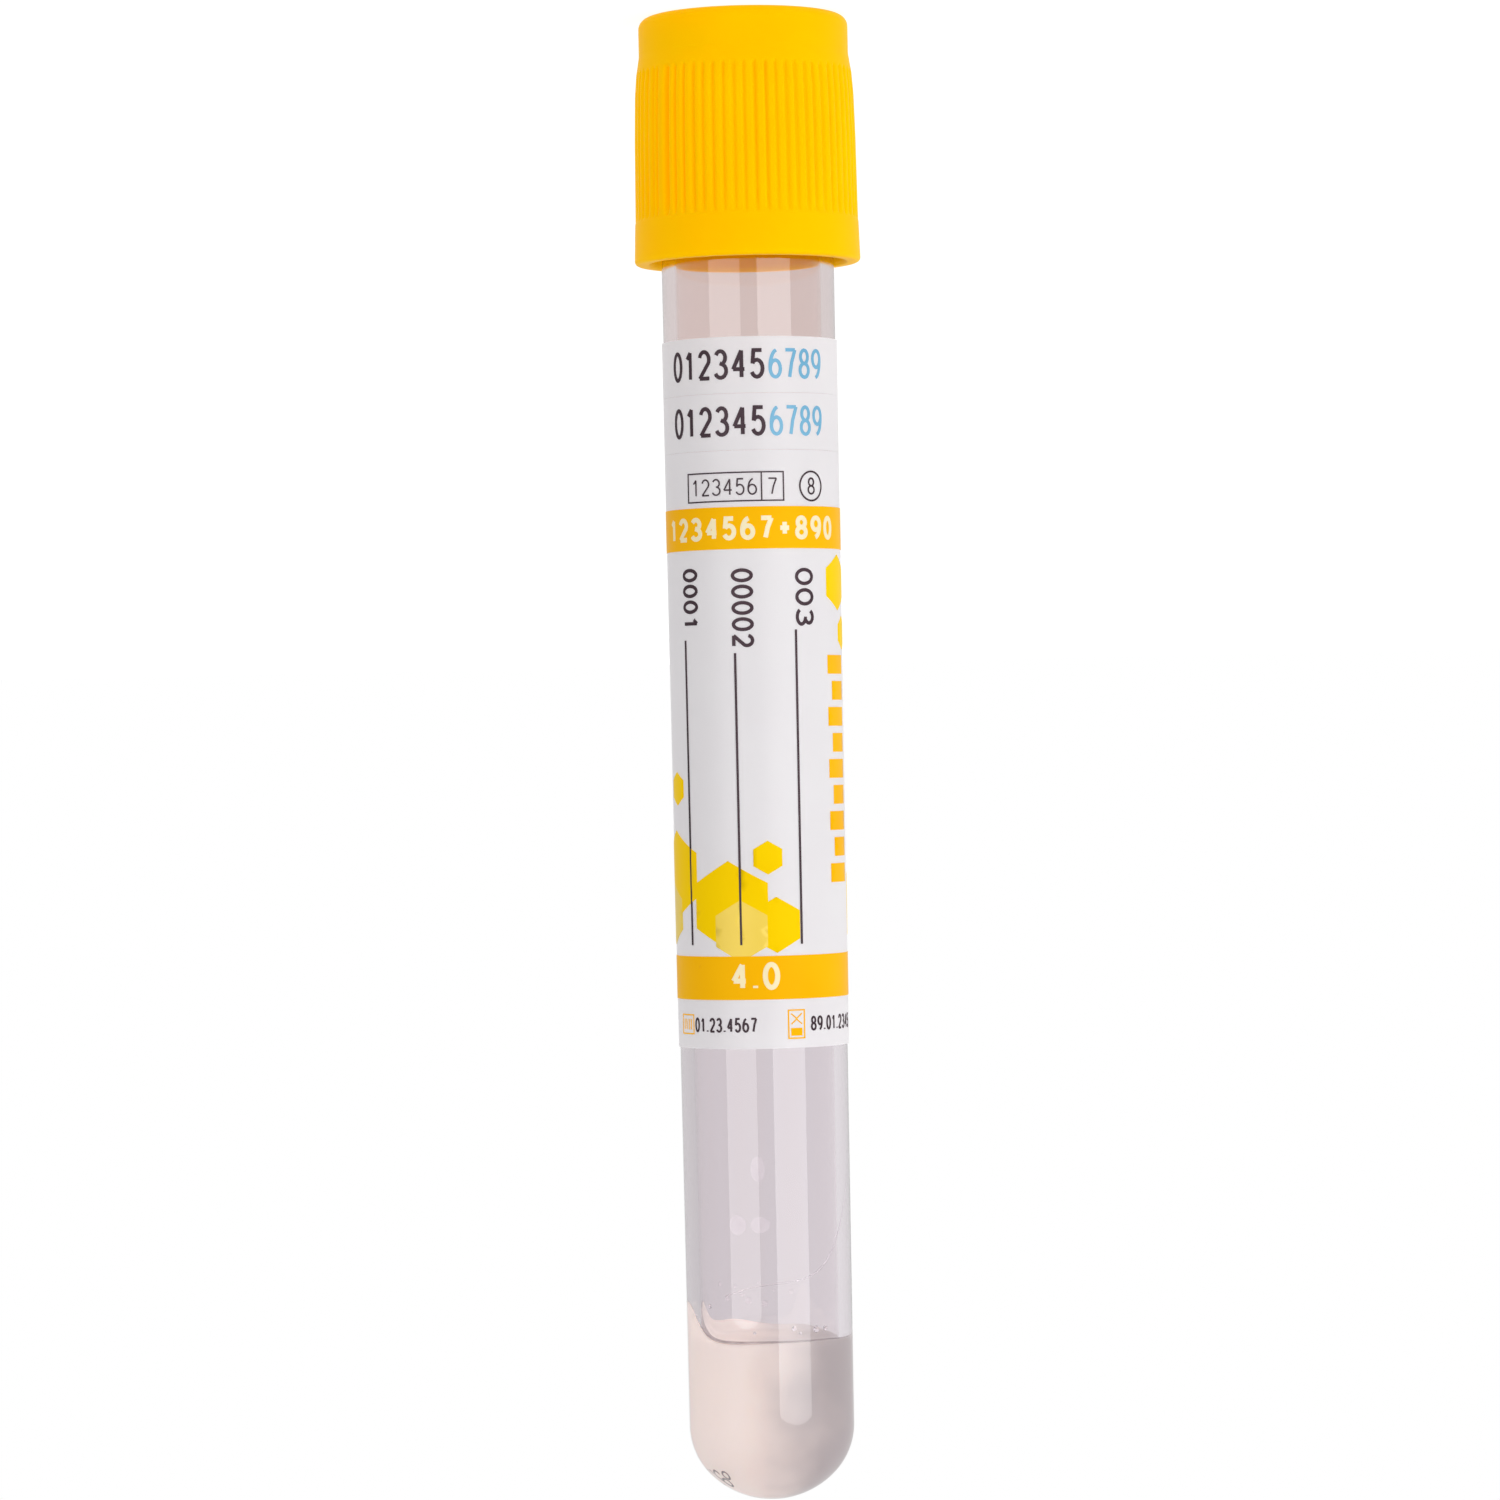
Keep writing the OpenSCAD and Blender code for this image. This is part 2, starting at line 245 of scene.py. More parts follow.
# Adds points along an outline so that none are further apart than step
def spaced(outline, step, closed=False):
    path = np.vstack([outline, outline[:1]]) if closed else outline
    out = []
    for a, b in zip(path[:-1], path[1:]):
        n = max(int(math.ceil(np.linalg.norm(b - a) / step)), 1)
        out.append(a + (b - a) * np.linspace(0.0, 1.0, n, endpoint=False)[:, None])
    if not closed:
        out.append(path[-1:])
    return np.vstack(out)


# ---- materials
# An empty node material, its node tree and its shader
def newMaterial(name):
    m = bpy.data.materials.new(name)
    m.use_nodes = True
    return m, m.node_tree, m.node_tree.nodes["Principled BSDF"]


# Noise on Object coordinates, in the row frame's metres, turned into a normal by a bump node
def addBump(tree, shader, scale, height, detail=3.0, stretch=(1, 1, 1)):
    n, link = tree.nodes, tree.links.new
    place = n.new("ShaderNodeTexCoord")
    mapping = n.new("ShaderNodeMapping")
    mapping.inputs["Scale"].default_value = stretch
    noise = n.new("ShaderNodeTexNoise")
    noise.inputs["Scale"].default_value = scale
    noise.inputs["Detail"].default_value = detail
    bump = n.new("ShaderNodeBump")
    bump.inputs["Distance"].default_value = height
    link(place.outputs["Object"], mapping.inputs["Vector"])
    link(mapping.outputs["Vector"], noise.inputs["Vector"])
    link(noise.outputs["Fac"], bump.inputs["Height"])
    link(bump.outputs["Normal"], shader.inputs["Normal"])
    return noise


# Base colour that drifts between two near tones, and roughness that drifts with it
def addDrift(tree, shader, toneA, toneB, scale, rough=None, stretch=(1, 1, 1)):
    n, link = tree.nodes, tree.links.new
    place = n.new("ShaderNodeTexCoord")
    mapping = n.new("ShaderNodeMapping")
    mapping.inputs["Scale"].default_value = stretch
    noise = n.new("ShaderNodeTexNoise")
    noise.inputs["Scale"].default_value = scale
    noise.inputs["Detail"].default_value = 2.0
    ramp = n.new("ShaderNodeValToRGB")
    ramp.color_ramp.elements[0].position = 0.35
    ramp.color_ramp.elements[1].position = 0.65
    ramp.color_ramp.elements[0].color = (*toneA, 1)
    ramp.color_ramp.elements[1].color = (*toneB, 1)
    link(place.outputs["Object"], mapping.inputs["Vector"])
    link(mapping.outputs["Vector"], noise.inputs["Vector"])
    link(noise.outputs["Fac"], ramp.inputs["Fac"])
    link(ramp.outputs["Color"], shader.inputs["Base Color"])
    if rough:
        spread = n.new("ShaderNodeMapRange")
        spread.inputs["To Min"].default_value = rough[0]
        spread.inputs["To Max"].default_value = rough[1]
        link(noise.outputs["Fac"], spread.inputs["Value"])
        link(spread.outputs["Result"], shader.inputs["Roughness"])


# The tone for the top and the noise share on the ramp paint light into the clear plastic: the cap's yellow towards
# the top, and vertical reflection bands.
clear = dict(
    tint=(0.952, 0.930, 0.966), paintedCapLight=(0.938, 0.840, 0.812), paintedCapLightFrom=58.0, paintedCapLightTo=91.0,
    rough=0.02, index=1.57,
    depthTint=(0.79, 0.63, 0.77), density=60.0, shadowTint=(0.96, 0.94, 0.95),
    paintedBands=0.5, streakScale=480.0, streakStretch=(1, 1, 0.015), streakHeight=0.000004)
# The gel's left tone is painted light and its right tone is painted shade, across the tube. Its emission is a
# painted glow.
gelLook = dict(
    left=(1.0, 0.93, 0.85), right=(0.24, 0.235, 0.27), rightFrom=0.62, across=0.42,
    cloud=0.5, cloudScale=220.0,
    rough=0.35, index=1.45, passing=0.6, through=(1.0, 0.88, 0.80), paintedGlow=0.21, deep=0.8,
    reach=(0.004, 0.0036, 0.0032))
filmLook = dict(toneA=(0.92, 0.875, 0.90), toneB=(0.95, 0.91, 0.935), rough=(0.30, 0.38))
amber = dict(toneA=(0.98, 0.485, 0.002), toneB=(1.0, 0.53, 0.004), rough=(0.30, 0.38))
yellow = dict(toneA=(0.98, 0.65, 0.0), toneB=(1.0, 0.70, 0.001), rough=(0.30, 0.38))
paleYellow = dict(toneA=(0.97, 0.69, 0.08), toneB=(1.0, 0.73, 0.10), rough=(0.30, 0.38))
darkInk = dict(toneA=(0.030, 0.012, 0.020), toneB=(0.045, 0.020, 0.030), rough=(0.35, 0.5))
blueInk = dict(toneA=(0.15, 0.43, 0.66), toneB=(0.21, 0.50, 0.72), rough=(0.35, 0.5))
creamInk = dict(toneA=(1.0, 0.86, 0.52), toneB=(1.0, 0.90, 0.62), rough=(0.30, 0.4))
capLook = dict(toneA=(1.0, 0.525, 0.0), toneB=(1.0, 0.555, 0.0), rough=(0.34, 0.42))
rubberLook = dict(toneA=(0.14, 0.14, 0.15), toneB=(0.19, 0.19, 0.20), rough=(0.55, 0.7))


# Shadow rays pass through, so that what is inside the wall is lit
def letLightIn(tree, shader, tint):
    n, link = tree.nodes, tree.links.new
    path = n.new("ShaderNodeLightPath")
    passing = n.new("ShaderNodeBsdfTransparent")
    passing.inputs["Color"].default_value = (*tint, 1)
    mix = n.new("ShaderNodeMixShader")
    link(path.outputs["Is Shadow Ray"], mix.inputs["Fac"])
    link(shader.outputs["BSDF"], mix.inputs[1])
    link(passing.outputs["BSDF"], mix.inputs[2])
    link(mix.outputs["Shader"], n["Material Output"].inputs["Surface"])


# Clear plastic, lilac below and warmer towards the cap: height above the tip on a ramp. The warmer tone is painted
# light, the cap's yellow seen in the wall. The stretched noise added to the ramp paints vertical reflection bands
# into the colour.
def clearPlastic():
    m, tree, s = newMaterial("clear_plastic")
    n, link = tree.nodes, tree.links.new
    place = n.new("ShaderNodeTexCoord")
    up = n.new("ShaderNodeVectorMath")
    up.operation = "DOT_PRODUCT"
    up.inputs[1].default_value = axisDir
    spread = n.new("ShaderNodeMapRange")
    spread.inputs["From Min"].default_value = tipPoint @ axisDir + clear["paintedCapLightFrom"] * mm
    spread.inputs["From Max"].default_value = tipPoint @ axisDir + clear["paintedCapLightTo"] * mm
    mapping = n.new("ShaderNodeMapping")
    mapping.inputs["Scale"].default_value = clear["streakStretch"]
    paintedBands = n.new("ShaderNodeTexNoise")
    paintedBands.inputs["Scale"].default_value = clear["streakScale"]
    paintedBands.inputs["Detail"].default_value = 2.0
    total = n.new("ShaderNodeMath")
    total.operation = "MULTIPLY_ADD"
    total.inputs[1].default_value = clear["paintedBands"]
    ramp = n.new("ShaderNodeValToRGB")
    ramp.color_ramp.elements[0].color = (*clear["tint"], 1)
    ramp.color_ramp.elements[1].color = (*clear["paintedCapLight"], 1)
    link(place.outputs["Object"], up.inputs[0])
    link(place.outputs["Object"], mapping.inputs["Vector"])
    link(mapping.outputs["Vector"], paintedBands.inputs["Vector"])
    link(up.outputs["Value"], spread.inputs["Value"])
    link(paintedBands.outputs["Fac"], total.inputs[0])
    link(spread.outputs["Result"], total.inputs[2])
    link(total.outputs["Value"], ramp.inputs["Fac"])
    link(ramp.outputs["Color"], s.inputs["Base Color"])
    s.inputs["Roughness"].default_value = clear["rough"]
    s.inputs["IOR"].default_value = clear["index"]
    s.inputs["Transmission Weight"].default_value = 1.0
    addBump(tree, s, clear["streakScale"], clear["streakHeight"], 1.0, clear["streakStretch"])
    letLightIn(tree, s, clear["shadowTint"])
    depth = n.new("ShaderNodeVolumeAbsorption")
    depth.inputs["Color"].default_value = (*clear["depthTint"], 1)
    depth.inputs["Density"].default_value = clear["density"]
    link(depth.outputs["Volume"], n["Material Output"].inputs["Volume"])
    return m


# Painted light and shade: cream on the lit left and lilac grey in painted shade on the right. It is set by
# position across the tube, pushed about by soft noise, on a ramp. The emission is a painted glow.
def gelMaterial():
    m, tree, s = newMaterial("gel")
    n, link = tree.nodes, tree.links.new
    place = n.new("ShaderNodeTexCoord")
    across = n.new("ShaderNodeVectorMath")
    across.operation = "DOT_PRODUCT"
    across.inputs[1].default_value = rightDir * (gelLook["across"] / boreHeelR / mm)
    noise = n.new("ShaderNodeTexNoise")
    noise.inputs["Scale"].default_value = gelLook["cloudScale"]
    total = n.new("ShaderNodeMath")
    total.operation = "MULTIPLY_ADD"
    total.inputs[1].default_value = gelLook["cloud"]
    ramp = n.new("ShaderNodeValToRGB")
    ramp.color_ramp.interpolation = "EASE"
    ramp.color_ramp.elements[0].position = 0.0
    ramp.color_ramp.elements[1].position = gelLook["rightFrom"]
    ramp.color_ramp.elements[0].color = (*gelLook["left"], 1)
    ramp.color_ramp.elements[1].color = (*gelLook["right"], 1)
    link(place.outputs["Object"], across.inputs[0])
    link(place.outputs["Object"], noise.inputs["Vector"])
    link(noise.outputs["Fac"], total.inputs[0])
    link(across.outputs["Value"], total.inputs[2])
    link(total.outputs["Value"], ramp.inputs["Fac"])
    link(ramp.outputs["Color"], s.inputs["Base Color"])
    s.inputs["Roughness"].default_value = gelLook["rough"]
    s.inputs["IOR"].default_value = gelLook["index"]
    s.inputs["Transmission Weight"].default_value = gelLook["passing"]
    s.inputs["Emission Color"].default_value = (*gelLook["through"], 1)
    s.inputs["Emission Strength"].default_value = gelLook["paintedGlow"]
    s.inputs["Subsurface Weight"].default_value = gelLook["deep"]
    s.inputs["Subsurface Radius"].default_value = gelLook["reach"]
    s.inputs["Subsurface Scale"].default_value = 1.0
    return m


# Film, ink, moulded plastic and rubber: a drifting tone under a fine bump. Deep is the share of light that spreads
# inside. The glow is a painted glow, an emission that stands in for light that comes through from behind.
def coated(name, look, bumpScale=2500.0, bumpHeight=0.000004, spec=0.35, tint=(1, 1, 1), deep=0.0, index=1.45,
           reach=(0.003, 0.0015, 0.0004), through=(1, 1, 1), paintedGlow=0.0):
    m, tree, s = newMaterial(name)
    addDrift(tree, s, look["toneA"], look["toneB"], 120.0, look["rough"])
    addBump(tree, s, bumpScale, bumpHeight)
    s.inputs["Specular IOR Level"].default_value = spec
    s.inputs["Specular Tint"].default_value = (*tint, 1)
    s.inputs["IOR"].default_value = index
    s.inputs["Subsurface Weight"].default_value = deep
    s.inputs["Subsurface Radius"].default_value = reach
    s.inputs["Subsurface Scale"].default_value = 1.0
    s.inputs["Emission Color"].default_value = (*through, 1)
    s.inputs["Emission Strength"].default_value = paintedGlow
    return m


# What the gel left behind: nearly clear, faintly cloudy
def residueMaterial(name, toneA, toneB):
    m, tree, s = newMaterial(name)
    addDrift(tree, s, toneA, toneB, 900.0, (0.08, 0.2))
    s.inputs["IOR"].default_value = 1.42
    s.inputs["Transmission Weight"].default_value = 0.9
    letLightIn(tree, s, (0.9, 0.88, 0.9))
    return m


clearMat, gelMat = clearPlastic(), gelMaterial()
residueMat = residueMaterial("gel_residue", (0.97, 0.95, 0.97), (1.0, 0.99, 1.0))
beadMat = residueMaterial("gel_meniscus", (0.56, 0.52, 0.53), (0.68, 0.63, 0.64))
# The film's emission is a painted glow for light that comes through it.
filmMat = coated("label_film", filmLook, spec=0.2, deep=0.35, reach=(0.0012, 0.0011, 0.0011),
                 through=(1.0, 0.97, 0.98), paintedGlow=0.08)
# The amber and yellow inks share an orange emission, which is a painted glow.
inkGlossAndPaintedGlow = dict(spec=0.08, tint=(1.0, 0.75, 0.2), index=1.3, through=(1.0, 0.45, 0.01), paintedGlow=0.07)
amberMat, yellowMat = coated("amber_ink", amber, **inkGlossAndPaintedGlow), coated("yellow_ink", yellow, **inkGlossAndPaintedGlow)
paleMat, creamMat = coated("pale_ink", paleYellow), coated("cream_ink", creamInk)
darkMat, blueMat = coated("dark_ink", darkInk), coated("blue_ink", blueInk)
# The cap's orange emission is a painted glow. It stands in for light coming through the cap's walls and tints its
# shaded parts orange.
capMat = coated("cap_plastic", capLook, bumpScale=1800.0, bumpHeight=0.000002, spec=0.05,
                tint=(1.0, 0.74, 0.05), deep=0.3, index=1.3, through=(1.0, 0.38, 0.0), paintedGlow=0.23)
rubberMat = coated("stopper_rubber", rubberLook, bumpScale=3500.0, bumpHeight=0.00002, spec=0.3)
print("materials made")


# ---- tube
tubeForm = dict(steps=256, lipRound=0.22, rise=1.5, lipOut=0.28, lipIn=0.4)


# The wall as one closed outline from the outer tip to the lip and back down to the inner tip
def tubeBody():
    up = np.arange(endHeight + tubeForm["rise"], lipBevelZ - 0.3, tubeForm["rise"])
    outside = np.vstack([endArc(0.0), np.stack([outerR(up), up], axis=1)])
    bevel = tubeLength - lipBevelZ
    boreTop = outerR(tubeLength) - wall
    lip = np.array([[lipR, lipBevelZ - tubeForm["lipOut"]], [lipR, lipBevelZ], [lipR - bevel, tubeLength],
                    [boreTop, tubeLength], [boreTop, tubeLength - tubeForm["lipIn"]]])
    lip = softened(lip, tubeForm["lipRound"] / 2)
    down = up[::-1]
    inside = np.vstack([np.stack([outerR(down) - wall, down], axis=1), endArc(wall)[::-1]])
    profile = np.vstack([outside, lip, inside])
    profile[0, 0] = profile[-1, 0] = 0.0
    return turned(profile, tubeForm["steps"])


addPiece("clear_tube", tubeBody(), clearMat, "barrel", ["tube"], 50)
print("tube made")

# ---- gel
gelPoints = localPoints("gel", tipShift)
gelR = np.hypot(gelPoints[:, 0], gelPoints[:, 1])
gelForm = dict(
    steps=240, contact=0.02,
    level=gelPoints[(gelR < 0.8 * gelR.max()) & (gelPoints[:, 2] > endHeight + 1), 2].min(),
    contactRise=0.32, climb=0.14, climbReach=0.3,
    smears=((-86.0, 23.0, 2.5, 0.45), (-140.0, 40.0, 0.9, 0.05), (150.0, 26.0, 0.3, 0.12)),
)


# Height of the gel's surface: a shallow dish that rises with the radius squared, a meniscus that falls off
# exponentially from the wall, and smears that climb it, each a bell curve of the angle
def gelHeight(angle, r):
    a = np.radians(angle)
    g = gelForm
    h = g["level"] + g["contactRise"] * (r / boreHeelR) ** 2
    edge = np.exp(-(boreHeelR - r) / g["climbReach"])
    wave = 0.03 * np.sin(3 * a + 0.6) + 0.01 * np.sin(7 * a + 2.0)
    smear = 0.0
    for at, width, height, reach in g["smears"]:
        off = (angle - at + 180) % 360 - 180
        ragged = 1 + 0.02 * np.sin(11 * a + at) + 0.01 * np.sin(23 * a + 1.0)
        smear = smear + height * ragged * np.exp(-(off / width) ** 2) * np.exp(-(boreHeelR - r) / reach)
    return h + edge * (g["climb"] + wave) + smear


# Skin that follows the bore up to the contact line, then the free surface in to the middle. The first six
# tenths of a side's points lie on the round end by arc length, and the rest on the barrel by height.
def gelBody():
    angle = np.linspace(-180.0, 180.0, gelForm["steps"], endpoint=False)[:, None]
    top = gelHeight(angle, boreHeelR)
    share = np.linspace(0.0, 1.0, 60)[None, :]
    onArc = 0.6
    arc = endArc(wall - gelForm["contact"], 40)
    length = np.concatenate([[0.0], np.cumsum(np.hypot(*np.diff(arc, axis=0).T))])
    lowR = np.interp(np.minimum(share / onArc, 1.0), length / length[-1], arc[:, 0])
    lowZ = np.interp(np.minimum(share / onArc, 1.0), length / length[-1], arc[:, 1])
    above = np.clip((share - onArc) / (1.0 - onArc), 0.0, 1.0)
    sideZ = lowZ + above * (top - endHeight)
    sideR = np.where(above > 0, outerR(sideZ) - wall + gelForm["contact"], lowR)
    inward = (1 - np.linspace(0.0, 1.0, 40)[None, 1:] ** 1.6) * boreHeelR
    freeR = inward * (outerR(top) - wall) / boreHeelR
    freeZ = gelHeight(angle, inward)
    r = np.hstack([np.broadcast_to(sideR, sideZ.shape), np.broadcast_to(freeR, freeZ.shape)])
    z = np.hstack([sideZ, freeZ])
    z[:, -1] = z[:, -1].mean()
    r[:, -1] = 0.0
    r[:, 0] = 0.0
    points = polar(angle, r, z).reshape(-1, 3)
    quads = gridQuads(gelForm["steps"], r.shape[1], closeRows=True)
    return points, outward(points, quads)


addPiece("separator_gel", gelBody(), gelMat, "barrel", ["gel"], 60)
print("gel made")

# ---- marks that the gel left on the bore: a dried trace, round patches and small drops
marks = dict(
    trace=((83.0, 25.0), (80.0, 23.5), (73.0, 20.4), (52.0, 17.6), (29.0, 16.5), (7.0, 15.9), (-36.0, 15.1)),
    traceWidth=(0.05, 0.16, 0.05), traceDeep=0.05,
    patches=((-24.0, 20.2, 0.62, 0.72), (-6.0, 20.2, 0.66, 0.6), (-7.0, 24.2, 0.5, 0.9)),
    patchDeep=0.03, dropShare=0.6, bead=0.10, beadHalf=96.0, sunk=0.02, clearOf=0.004,
    drops=((19.0, 12.75, 0.16), (38.0, 12.6, 0.24), (47.0, 12.6, 0.2), (24.0, 12.4, 0.1),
           (-12.0, 12.5, 0.1), (-52.0, 14.3, 0.16), (160.0, 14.5, 0.2), (190.0, 15.2, 0.14),
           (205.0, 14.4, 0.22), (212.0, 15.0, 0.16), (221.0, 14.2, 0.24), (199.0, 13.9, 0.3),
           (184.0, 13.6, 0.26), (230.0, 15.3, 0.2), (176.0, 14.6, 0.12)),
)


# A dome on the bore: the angle round it and the share v of its radius give arc and height, and its depth is
# one less v squared
def boreDome(angle, z, wide, tall, deep):
    u = np.linspace(0.0, 2 * np.pi, 25)[:, None]
    v = np.linspace(0.0, 1.0, 9)[None, :]
    atZ = z + tall * v * np.sin(u)
    r = outerR(atZ) - wall
    a = angle + np.degrees(wide * v * np.cos(u) / r)
    skirt = deep * (1 - v ** 2) * np.ones_like(u)
    return between(polar(a, r - marks["clearOf"] - skirt, atZ), polar(a, r + marks["sunk"], atZ))


# The trace: a curve of the fourth degree fitted to its points, widest in the middle, as a ribbon whose
# thickness falls off with the square of the way across
def boreTrace():
    points = np.array(marks["trace"])
    t = np.linspace(0.0, 1.0, len(points))
    share = np.linspace(0.0, 1.0, 90)
    fit = [np.polyfit(t, points[:, k], 4) for k in range(2)]
    a, z = (np.polyval(f, share) for f in fit)
    width = np.interp(share, (0.0, 0.45, 1.0), marks["traceWidth"])[:, None]
    across = np.linspace(-1.0, 1.0, 7)[None, :]
    atZ = z[:, None] + across * width / 2
    r = outerR(atZ) - wall
    lift = marks["traceDeep"] * (1 - across ** 2)
    inner, outer = r - marks["clearOf"] - lift, r + marks["sunk"]
    return between(polar(a[:, None], inner, atZ), polar(a[:, None], outer, atZ))


# The bead of the meniscus: a round section carried along the contact line at the front. Its radius thins to
# nothing at the ends like a circle's edge, and swells on the left by a bell curve.
def contactBead():
    share = np.linspace(-1.0, 1.0, 181)[:, None]
    a = marks["beadHalf"] * share
    turn = np.linspace(0.0, 2 * np.pi, 12, endpoint=False)[None, :]
    z = gelHeight(a, boreHeelR)
    swell = 1 + 0.6 * np.exp(-((a + 40.0) / 30.0) ** 2)
    size = marks["bead"] * swell * np.sqrt(np.clip(1 - share ** 2, 0, 1))
    points = polar(a, outerR(z) - wall - size * 0.7 + size * np.cos(turn), z + size * np.sin(turn))
    quads = gridQuads(points.shape[0], points.shape[1], False, True)
    points = points.reshape(-1, 3)
    return points, outward(points, quads)


residue = [boreDome(a, z, w, t, marks["patchDeep"]) for a, z, w, t in marks["patches"]]
residue += [boreDome(a, z, w, w, w * marks["dropShare"]) for a, z, w in marks["drops"]] + [boreTrace()]
addPiece("gel_residue", joined(residue), residueMat, "barrel")
addPiece("gel_meniscus", contactBead(), beadMat, "barrel", crease=60)
print("marks made")

# ---- label film
labelPoints = localPoints("main_label", tipShift)
labelAngle = np.degrees(np.arctan2(labelPoints[:, 0], labelPoints[:, 1]))
labelR = np.hypot(labelPoints[:, 0], labelPoints[:, 1])
lowEdge = labelR[labelPoints[:, 2] < labelPoints[:, 2].min() + 0.01]
filmForm = dict(
    half=labelAngle.max(), thick=lowEdge.max() - lowEdge.min(), stepAngle=1.5, stepZ=1.0, closer=0.022,
    offWall=0.002)


# A skin on the barrel: a grid of angle and height, lifted by low and high above the wall
def skin(angles, heights, low, high):
    a, z = np.meshgrid(angles, heights, indexing="ij")
    r = outerR(z)
    return between(polar(a, r + high, z), polar(a, r + low, z))


# One sheet of film over its CAD node's heights. Its edges move closer to its neighbours at the kiss cuts.
def filmBody(name):
    z = localPoints(name, tipShift)[:, 2]
    half = filmForm["half"]
    angles = np.linspace(-half, half, int(2 * half / filmForm["stepAngle"]))
    low = z.min() - (filmForm["closer"] if name.startswith("peel") else 0.0)
    high = z.max() + (filmForm["closer"] if name != "peel_strip_upper" else 0.0)
    heights = np.linspace(low, high, max(int((high - low) / filmForm["stepZ"]), 4))
    return skin(angles, heights, filmForm["offWall"], filmForm["thick"])


for node in ("main_label", "peel_strip_lower", "peel_strip_upper"):
    addPiece(node + "_film", filmBody(node), filmMat, "barrel", [node])
print("label made")

# ---- fields of print, from the CAD solids
inkForm = dict(low=filmForm["thick"] - 0.003, high=filmForm["thick"] + 0.035, cell=0.35,
               split=filmForm["thick"] + 0.012)


# A refined copy of a CAD print node: its triangles are cut finer, and every point is put back on one of the
# ink's two skins. Points further above the barrel than the split belong to the upper skin, and cut points
# take after their edge's ends.
def inkCopy(name, node, material, extra=0.0):
    source = frame["nodes"][node].data
    mesh = source.copy()
    mesh.name = name
    x, f, z = localPoints(node, tipShift).T
    upper = mesh.attributes.new("upper", "FLOAT", "POINT")
    upper.data.foreach_set("value", (np.hypot(x, f) - outerR(z) > inkForm["split"]).astype(np.float32))
    bm = bmesh.new()
    bm.from_mesh(mesh)
    bmesh.ops.remove_doubles(bm, verts=bm.verts, dist=1e-7)
    for cut in range(4):
        longEdges = [e for e in bm.edges if e.calc_length() > inkForm["cell"] * mm * 2]
        if not longEdges:
            break
        bmesh.ops.subdivide_edges(bm, edges=longEdges, cuts=1)
        bmesh.ops.triangulate(bm, faces=bm.faces)
    bm.to_mesh(mesh)
    bm.free()
    share = np.zeros(len(mesh.vertices), np.float32)
    mesh.attributes["upper"].data.foreach_get("value", share)
    mesh.attributes.remove(mesh.attributes["upper"])
    co = np.zeros(len(mesh.vertices) * 3)
    mesh.vertices.foreach_get("co", co)
    d = (co.reshape(-1, 3) - tipPoint) / mm
    x, f, z = d @ rightDir, d @ frontDir, d @ axisDir
    r = np.hypot(x, f)
    put = outerR(z) + np.where(share > 0.5, inkForm["high"] + extra, inkForm["low"])
    points = toRow(x / r * put, f / r * put, z)
    mesh.vertices.foreach_set("co", points.ravel())
    mesh.update()
    return finishPiece(mesh, material, "barrel", [node], 35.0)


inkCopy("amber_fields", "print_bands", amberMat)
inkCopy("yellow_hexagons", "print_hexagons", yellowMat)
inkCopy("pale_hexagons", "print_hexagons_pale", paleMat)
inkCopy("write_on_lines", "print_lines", darkMat, 0.004)
print("fields of print made")


# ---- numerals, drawn as strokes in a unit box
# Part of an ellipse round a centre, between two angles
def arc(cx, cy, rx, ry, start, end, n=14):
    a = np.radians(np.linspace(start, end, n))
    return np.stack([cx + rx * np.cos(a), cy + ry * np.sin(a)], axis=1)


# A straight or bent run through points
def line(*points):
    return np.array(points, float)


# The strokes of one character: straight runs and parts of ellipses. A nine is a six turned by half a turn.
def strokesOf(character):
    six = [arc(0.5, 0.31, 0.5, 0.31, 0, 360, 22), arc(0.72, 0.36, 0.72, 0.64, 184, 100, 10)]
    three = [arc(0.47, 0.75, 0.45, 0.25, 155, -80, 12), arc(0.47, 0.26, 0.52, 0.26, 80, -158, 14)]
    five = [line((0.92, 1.0), (0.2, 1.0), (0.1, 0.50)), arc(0.48, 0.32, 0.5, 0.32, 128, -155, 14)]
    glyphs = {
        "0": [arc(0.5, 0.5, 0.5, 0.5, 0, 360, 28)],
        "1": [line((0.2, 0.76), (0.58, 1.0), (0.58, 0.0))],
        "2": [np.vstack([arc(0.5, 0.71, 0.48, 0.29, 165, -30, 14), line((0.02, 0.0), (1.0, 0.0))])],
        "3": [np.vstack(three)],
        "4": [line((0.74, 0.0), (0.74, 1.0), (0.0, 0.30), (1.0, 0.30))],
        "5": [np.vstack(five)],
        "6": six,
        "7": [line((0.0, 1.0), (1.0, 1.0), (0.62, 0.52), (0.40, 0.0))],
        "8": [arc(0.5, 0.755, 0.42, 0.245, 0, 360, 20), arc(0.5, 0.255, 0.5, 0.255, 0, 360, 22)],
        "9": [1.0 - s for s in six],
        "+": [line((0.5, 0.18), (0.5, 0.78)), line((0.05, 0.48), (0.95, 0.48))],
        ".": [line((0.5, -0.01), (0.5, 0.09))],
    }
    return glyphs[character]


# A stroke as a flat ribbon: each point moves half the width to both sides along the mitre, the sum of its two
# normals over their share in one of them
def ribbon(path, width):
    path = np.asarray(path, float)
    closed = np.allclose(path[0], path[-1], atol=1e-6)
    step = np.diff(path, axis=0)
    keep = np.concatenate([[True], np.hypot(*step.T) > 1e-6])
    path = path[keep]
    step = np.diff(path, axis=0)
    step = step / np.hypot(*step.T)[:, None]
    normal = np.stack([-step[:, 1], step[:, 0]], axis=1)
    first = normal[-1:] if closed else normal[:1]
    last = normal[:1] if closed else normal[-1:]
    before, after = np.vstack([first, normal]), np.vstack([normal, last])
    miter = before + after
    miter = miter / np.maximum((miter * after).sum(axis=1), 0.5)[:, None]
    side = miter * width / 2
    return np.stack([path + side, path - side], axis=1)


